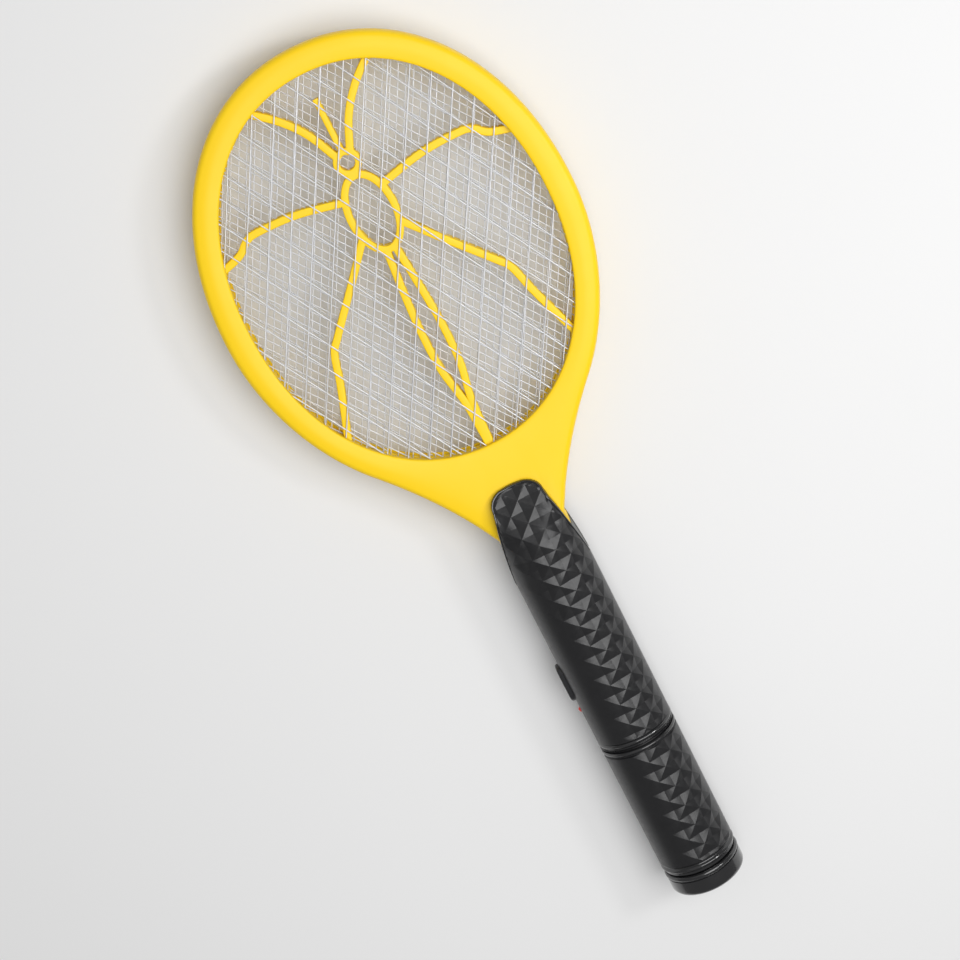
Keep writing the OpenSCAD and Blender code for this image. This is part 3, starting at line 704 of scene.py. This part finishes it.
def upper_half(name, node, side):
    """Half of the upper grip with its tongue, moulded pits, seam bead and rim; side as for the frame."""
    step = UPPER_ROW / CUTS
    near_tip = [TONGUE_TIP - 0.02 * k * k - 0.03 * k for k in range(1, 14)]
    ys = rows(GRIP_LOW, TONGUE_TIP - 4.2, step, UPPER_REF, [(GRIP_LOW, UPPER_START, SEAM_STEP)])
    ys = sorted(set(ys + near_tip + [TONGUE_TIP]))
    cols = [k * COLUMN / CUTS for k in range(-QUARTER * CUTS, QUARTER * CUTS + 1)]
    bm = bmesh.new()
    grid_rows, low_rows = [], []
    for y in ys:
        limit = reach(y)
        line = []
        for a in cols:
            at = math.copysign(min(abs(a), limit), a)
            plain = beads(y, [UPPER_BEAD], GRIP_LOW, UPPER_START - 0.1)
            plain += RIM_GROOVE * ease((y - RIM_LOW) / RIM_GROW)
            inner = min(limit - abs(at), TONGUE_TIP - y) if y > RIM_LOW else math.inf
            mask = ease((inner - PLAIN_EDGE) / PLAIN_EDGE) if y > UPPER_START else 0
            moulded = facet_depth(at, y, UPPER_ROW, UPPER_REF)
            p = top_point(at, y, plain + (moulded - plain) * mask)
            line.append(bm.verts.new(row_frame((p.x, p.y, side * max(p.z, 0)))))
        grid_rows.append(line)
        x = line[-1].co.x / MM
        low_rows.append([bm.verts.new(row_frame((s * x, y, 0))) for s in (-1, 1)])
    for k, (line, after) in enumerate(zip(grid_rows, grid_rows[1:])):
        mid_y = (ys[k] + ys[k + 1]) / 2
        for c in range(len(cols) - 1):
            mid_a = (cols[c] + cols[c + 1]) / 2
            even = (math.floor(mid_a / COLUMN) + math.floor((mid_y - UPPER_REF) / UPPER_ROW)) % 2 == 0
            cell = (line[c], line[c + 1], after[c + 1], after[c])
            for f in split(bm, cell, even):
                f.material_index = 1 if mid_y < UPPER_START else 0
        (l0, r0), (l1, r1) = low_rows[k], low_rows[k + 1]
        bm.faces.new((l0, line[0], after[0], l1))
        bm.faces.new((line[-1], r0, r1, after[-1]))
        bm.faces.new((r0, l0, l1, r1))
    bm.faces.new([low_rows[0][0], low_rows[0][1], *reversed(grid_rows[0])])
    bmesh.ops.remove_doubles(bm, verts=bm.verts, dist=1e-6)
    bmesh.ops.dissolve_degenerate(bm, edges=bm.edges, dist=1e-7)
    grip = new_object(name, bm, [BLACK, BLACK_GLOSS])
    boolean(grip, rim(side), "UNION")
    hollow_out(grip, side)
    shade(grip, FACET_ANGLE)
    return stands_for(grip, "root", "grip_plastic", node)


def rim(side):
    """Thin raised bead round the tongue's edge, growing out of the grip's side."""
    ys = []
    y = RIM_LOW
    while y < TONGUE_TIP - RIM_R:
        ys.append(y)
        y += 1.0 if y < TIP_ROOT else 0.35
    right, radii = [], []
    for y in ys:
        r = RIM_R * (0.15 + 0.85 * ease((y - RIM_LOW) / RIM_GROW))
        p = top_point(max(reach(y) - r, 0), y, r)
        right.append(Vector((min(p.x, half_width(y) - r), y, side * p.z)))
        radii.append(r)
    tip = Vector((0, TONGUE_TIP - RIM_R - 0.02, side * (slope_z(TONGUE_TIP - RIM_R) - RIM_R)))
    path = [Vector((-p.x, p.y, p.z)) for p in right] + [tip] + right[::-1]
    bm = bmesh.new()
    add_loops(bm, tube_loops(path, radii + [RIM_R] + radii[::-1], 10))
    return new_object("rim", bm, [BLACK_GLOSS])


def stadium(w, l, count=14):
    """Outline of a slot shape, w wide and l long, as (across, along) points."""
    r = w / 2
    made = []
    for end in (1, -1):
        for k in range(count + 1):
            a = math.pi * k / count + (0 if end > 0 else math.pi)
            made.append((r * math.cos(a), end * (l / 2 - r) + r * math.sin(a)))
    return made


def hollow_out(grip, side):
    """Cuts the bore, the pockets for neck and yoke, the button window, and the lamp and screw holes."""
    half_w, _, half_t = NECK
    outside, within = -GRIP_R - 1, -BORE_R + 2

    def cut(add, *shape):
        bm = bmesh.new()
        add(bm, *shape)
        boolean(grip, new_object("cutter", bm, [BLACK]), "DIFFERENCE")

    cut(add_cylinder, BORE_R, (0, GRIP_LOW - 1, 0), (0, BORE_END, 0), 96)
    cut(add_box, (-half_w - FIT_GAP, BORE_END - 1, -half_t - FIT_GAP),
        (half_w + FIT_GAP, YOKE[1] + 1, half_t + FIT_GAP))
    cut(add_box, (outside, YOKE_LOW - FIT_GAP, -HALF_T - FIT_GAP),
        (-outside, TONGUE_TIP + 5, HALF_T + FIT_GAP))
    window = stadium(BUTTON_W + BUTTON_GAP, BUTTON_L + BUTTON_GAP)
    cut(add_loops, [[(x, BUTTON_Y + v, u) for u, v in window] for x in (outside - 1, within)])
    cut(add_cylinder, LED_R + FIT_GAP, (outside, LED_Y, 0), (within, LED_Y, 0))
    for s in (-1, 1):
        for x, y, z in GRIP_SCREWS:
            if side > 0:
                cut(add_cylinder, PILOT_R, (s * x, y, -1), (s * x, y, z + 2))
                continue
            cut(add_cylinder, RECESS_R, (s * x, y, -z), (s * x, y, outside))
            cut(add_cylinder, CLEAR_R, (s * x, y, 1), (s * x, y, -z - 1))


def lower_depth(a, y):
    """Depth of the lower barrel's surface: pits between the seams, beads and grooves beside them."""
    if not LOWER_START < y < LOWER_END:
        return beads(y, LOWER_BEADS, BARREL_LOW - 1, BARREL_TOP)
    around = a if a <= 2 * QUARTER * COLUMN else a - 4 * QUARTER * COLUMN
    return facet_depth(around, y, LOWER_ROW, LOWER_REF, from_left)


def lower_barrel():
    """Textured tube with beads at both ends, its collar, and the bore for the batteries."""
    ys = rows(BARREL_LOW, BARREL_TOP, LOWER_ROW / CUTS, LOWER_REF,
              [(BARREL_LOW, LOWER_START, SEAM_STEP), (LOWER_END, BARREL_TOP, SEAM_STEP)])
    count = 4 * QUARTER * CUTS
    cols = [k * COLUMN / CUTS for k in range(count)]
    bm = bmesh.new()
    skin = [[bm.verts.new(row_frame(round_point(a, y, lower_depth(a, y)))) for a in cols] for y in ys]
    for k in range(len(ys) - 1):
        mid_y = (ys[k] + ys[k + 1]) / 2
        for c in range(count):
            d = (c + 1) % count
            mid_a = (c + 0.5) * COLUMN / CUTS
            even = (math.floor(mid_a / COLUMN) + math.floor((mid_y - LOWER_REF) / LOWER_ROW)) % 2 == 0
            for f in split(bm, (skin[k][c], skin[k][d], skin[k + 1][d], skin[k + 1][c]), even):
                f.material_index = 0 if LOWER_START < mid_y < LOWER_END else 1

    def ring(r, y):
        return [bm.verts.new(row_frame(round_point(a, y, GRIP_R - r))) for a in cols]

    inside_rings = [skin[-1], ring(SEAM_R, BARREL_TOP), ring(SEAM_R, GRIP_LOW), ring(COLLAR_R, GRIP_LOW),
                    ring(COLLAR_R, COLLAR_TOP + COLLAR_EDGE), ring(COLLAR_R - COLLAR_EDGE, COLLAR_TOP),
                    ring(BARREL_BORE, COLLAR_TOP), ring(BARREL_BORE, BARREL_LOW), skin[0]]
    for a, b in zip(inside_rings, inside_rings[1:]):
        for c in range(count):
            d = (c + 1) % count
            bm.faces.new((a[c], a[d], b[d], b[c]))
    barrel = new_object("lower_barrel_look", bm, [BLACK, BLACK_GLOSS], FACET_ANGLE)
    return stands_for(barrel, "root", "grip_plastic", "lower_barrel")


def from_left(around):
    """Distance round from the nearer of the front and back centrelines, positive on the right."""
    quarter = QUARTER * COLUMN
    if around > quarter:
        return 2 * quarter - around
    if around < -quarter:
        return -2 * quarter - around
    return around


def end_cap():
    """Smooth cap with a bead at its seam, a rounded edge, and the plug that goes into the barrel."""
    bottom, skirt_r = -BUTT, GRIP_R - CAP_INSET
    chamfer = 0.4
    plug = [(0, CAP_PLUG_TOP), (CAP_PLUG_R - chamfer, CAP_PLUG_TOP),
            (CAP_PLUG_R, CAP_PLUG_TOP - chamfer), (CAP_PLUG_R, CAP_TOP)]
    turns = [math.pi * k / 10 for k in range(11)]
    seam = [(GRIP_R - 1, CAP_TOP)]
    seam += [(GRIP_R - 1 + math.sin(a), CAP_BEAD + BEAD_HALF * math.cos(a)) for a in turns]
    skirt = [(GRIP_R - 0.85, CAP_BEAD - 1.5), (GRIP_R - 0.35, CAP_BEAD - 1.75),
             (skirt_r, bottom + CAP_EDGE + 2)]
    corner = [(skirt_r - CAP_EDGE + CAP_EDGE * math.cos(a / 2),
               bottom + CAP_EDGE - CAP_EDGE * math.sin(a / 2)) for a in turns]
    foot = [(13.5, bottom), (13.0, bottom + 0.35), (0, bottom + 0.35)]
    bm = bmesh.new()
    lathe(bm, plug + seam + skirt + corner + foot)
    cap = new_object("end_cap_look", bm, [BLACK_GLOSS], 30)
    return stands_for(cap, "cap", "grip_plastic", "end_cap")


def push_button():
    """Domed slot-shaped button with its flange and stem."""
    bm = bmesh.new()
    top = -GRIP_R - BUTTON_OUT
    dome = [(0, top + 0.9), (0.12, top + 0.5), (0.4, top + 0.2), (0.9, top + 0.04), (2.2, top)]
    loops = []
    for inset, x in [(0, FLANGE_X[0])] + dome:
        shape = stadium(BUTTON_W - 2 * inset, BUTTON_L - 2 * inset)
        loops.append([(x, BUTTON_Y + v, u) for u, v in shape])
    add_loops(bm, loops)
    flange = stadium(BUTTON_W + FLANGE_OVER, BUTTON_L + FLANGE_OVER)
    add_loops(bm, [[(x, BUTTON_Y + v, u) for u, v in flange] for x in FLANGE_X])
    add_cylinder(bm, STEM_R, (STEM_X[0], BUTTON_Y, 0), (STEM_X[1], BUTTON_Y, 0))
    button = new_object("push_button_look", bm, [BUTTON], 30)
    return stands_for(button, "button", "button_plastic", "zap_button")


# ---- carried-over nodes ----

def dress_nodes():
    """Procedural material of its slot for every CAD node that stays visible."""
    for part in frame["record"]["subparts"]:
        obj = frame["nodes"][part["node"]]
        look = INNER.get(part["material_slot"])
        if obj.hide_render or look is None:
            continue
        for s in obj.material_slots:
            s.material = look
        if not obj.material_slots:
            obj.data.materials.append(look)


# ---- stage ----

def soft_light(name, size, power, place, target):
    light = bpy.data.lights.new(name, "AREA")
    light.shape = "DISK"
    light.size = size
    light.energy = power
    obj = bpy.data.objects.new(name, light)
    bpy.context.scene.collection.objects.link(obj)
    obj.location = place
    obj.rotation_euler = (Vector(target) - Vector(place)).to_track_quat("-Z", "Y").to_euler()


def stage():
    bm = bmesh.new()
    bmesh.ops.create_grid(bm, x_segments=8, y_segments=8, size=3)
    mesh = bpy.data.meshes.new("floor")
    bm.to_mesh(mesh)
    bm.free()
    floor = bpy.data.objects.new("floor", mesh)
    bpy.context.scene.collection.objects.link(floor)
    floor.location.z = cad_low.z - 0.0002
    paper = material("floor_paper", (0.80, 0.80, 0.80), 0.85, mottle=0.01, mottle_scale=5)
    floor.data.materials.append(paper)
    world = bpy.data.worlds.new("studio")
    world.use_nodes = True
    background = world.node_tree.nodes["Background"]
    background.inputs["Color"].default_value = (1, 1, 1, 1)
    background.inputs["Strength"].default_value = 0.27
    bpy.context.scene.world = world
    soft_light("key", 1.1, 12.5, (0.32, 0.02, 1.2), (0, 0, 0))
    soft_light("glint", 0.18, 1.5, (0.7, 0.05, 0.7), (0, 0, 0))
    soft_light("fill", 1.4, 1, (-0.5, 0.8, 1.1), (0, 0, 0))
    bpy.context.scene.view_settings.view_transform = "Standard"


# ---- camera ----

def camera():
    """The photograph's viewing angle: from above the head, turned 27 degrees about the line of sight."""
    roll, tilt, yaw = (math.radians(a) for a in (CAMERA_ROLL, CAMERA_TILT, CAMERA_YAW))
    turn = Matrix.Rotation(roll, 3, "Z") @ Matrix.Rotation(tilt, 3, "X") @ Matrix.Rotation(yaw, 3, "Y")
    data = bpy.data.cameras.new("camera")
    data.lens = CAMERA_LENS
    data.shift_x, data.shift_y = CAMERA_SHIFT
    obj = bpy.data.objects.new("camera", data)
    bpy.context.scene.collection.objects.link(obj)
    obj.matrix_world = Matrix.Translation(CAMERA_AT) @ turn.transposed().to_4x4()
    bpy.context.scene.camera = obj


camera()
stage()
frame_shell("front_frame_look", "front_frame", 1)
frame_shell("rear_frame_look", "rear_frame", -1)
for grid_node, grid_side in (("front_grid", 1), ("rear_grid", -1)):
    grid(grid_node + "_look", grid_node,
         [(OUTER_ANGLE, OUTER_PITCH, grid_side * (OUTER_Z + OUTER_LAYER)),
          (-OUTER_ANGLE, OUTER_PITCH, grid_side * (OUTER_Z - OUTER_LAYER))], OUTER_R)
grid("middle_grid_look", "middle_grid",
     [(MIDDLE_ANGLES[0], MIDDLE_PITCH, MIDDLE_LAYER),
      (MIDDLE_ANGLES[1], MIDDLE_PITCH, -MIDDLE_LAYER)], MIDDLE_R)
rib_web("front_rib_web_look", "front_rib_web", 1)
rib_web("rear_rib_web_look", "rear_rib_web", -1)
upper_half("upper_grip_front_look", "upper_grip_front", 1)
upper_half("upper_grip_rear_look", "upper_grip_rear", -1)
lower_barrel()
end_cap()
push_button()
dress_nodes()
